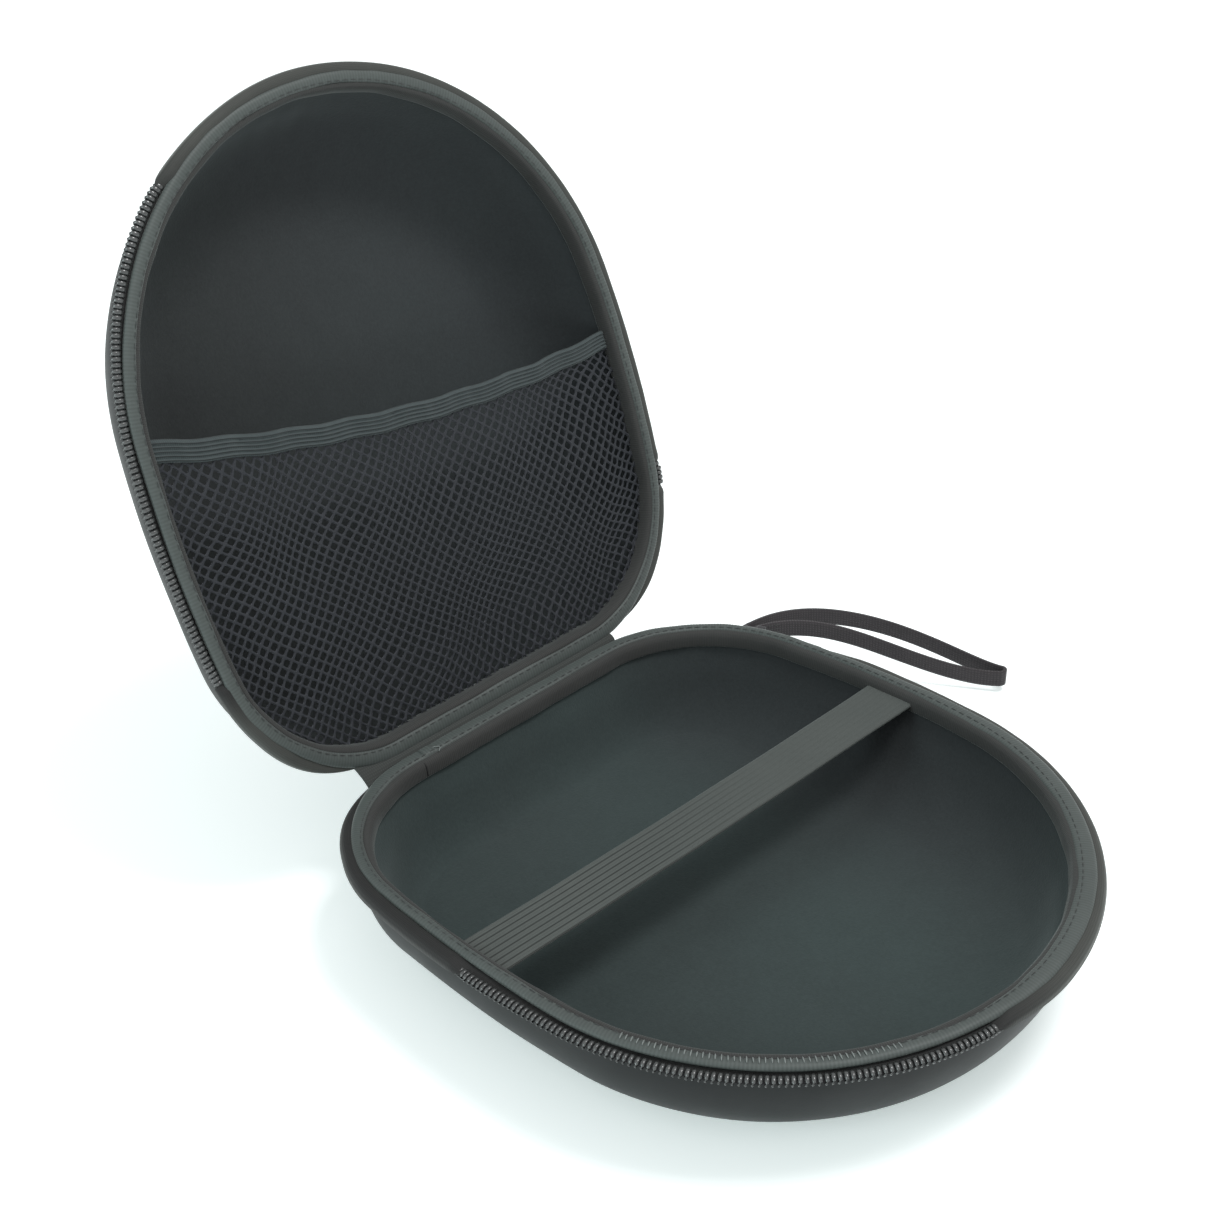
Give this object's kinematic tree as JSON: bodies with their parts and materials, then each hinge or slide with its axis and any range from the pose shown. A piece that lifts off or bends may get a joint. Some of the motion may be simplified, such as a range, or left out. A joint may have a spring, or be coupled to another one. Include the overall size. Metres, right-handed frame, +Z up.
{
  "type": "headphone carrying case",
  "caption": "Moulded clamshell carrying case for headphones with a fabric hinge, zipped rim, elastic strap across the base, net pocket in the lid and a side wrist strap.",
  "frame": {"origin": "on the base's flat underside, on the centre line, midway between the front and rear edges of the rim", "axes": "+Z up off the surface the base rests on, +Y towards the hinge, +X to the side the wrist strap leaves"},
  "size_m": [0.2551, 0.2953, 0.2267],
  "materials": {
    "smooth_cover": "smooth coated fabric, soft sheen",
    "eva_foam": "moulded closed-cell foam, matte",
    "plush_lining": "short-pile plush",
    "grosgrain": "ribbed woven tape",
    "zip_tape": "woven tape, matte",
    "zip_coil": "moulded nylon teeth",
    "spine_fabric": "close-woven fabric",
    "elastic": "ribbed elastic webbing",
    "net": "knitted diamond net",
    "webbing": "flat woven webbing",
    "slider_metal": "dark plated zinc"
  },
  "bodies": {
    "base": {"base_outer_cover": "smooth_cover", "base_foam_shell": "eva_foam", "base_lining": "plush_lining", "base_rim_binding": "grosgrain", "base_zip_tape": "zip_tape", "base_zip_coil": "zip_coil", "base_hinge_spine": "spine_fabric", "base_top_stop": "slider_metal", "zip_bottom_stop": "slider_metal", "elastic_strap": "elastic", "wrist_strap_anchor": "webbing"},
    "lid": {"lid_outer_cover": "smooth_cover", "lid_foam_shell": "eva_foam", "lid_lining": "plush_lining", "lid_rim_binding": "grosgrain", "lid_zip_tape": "zip_tape", "lid_zip_coil": "zip_coil", "lid_hinge_spine": "spine_fabric", "lid_top_stop": "slider_metal", "pocket_net": "net", "pocket_band": "elastic"},
    "slider": {"zip_slider": "slider_metal"},
    "pull": {"zip_pull": "slider_metal"},
    "strap_loop": {"wrist_strap_loop": "webbing"}
  },
  "joints": [
    {"name": "lid_hinge", "type": "hinge", "parent": "base", "child": "lid", "pos_m": [0, 0.0994, 0.0384], "axis": [-1, 0, 0], "range_deg": [-110, 68]},
    {"name": "slider_travel", "type": "slide", "parent": "base", "child": "slider", "axis": [0.3007, -0.9537, 0], "range_m": [0, 0.01]},
    {"name": "pull_swing", "type": "hinge", "parent": "slider", "child": "pull", "pos_m": [0.09201, 0.07071, 0.0357], "axis": [0, 0, 1], "range_deg": [0, 80]},
    {"name": "strap_swing", "type": "hinge", "parent": "base", "child": "strap_loop", "pos_m": [0.08764, 0.07855, 0.0273], "axis": [0, 0, 1], "range_deg": [-30, 50]}
  ]
}
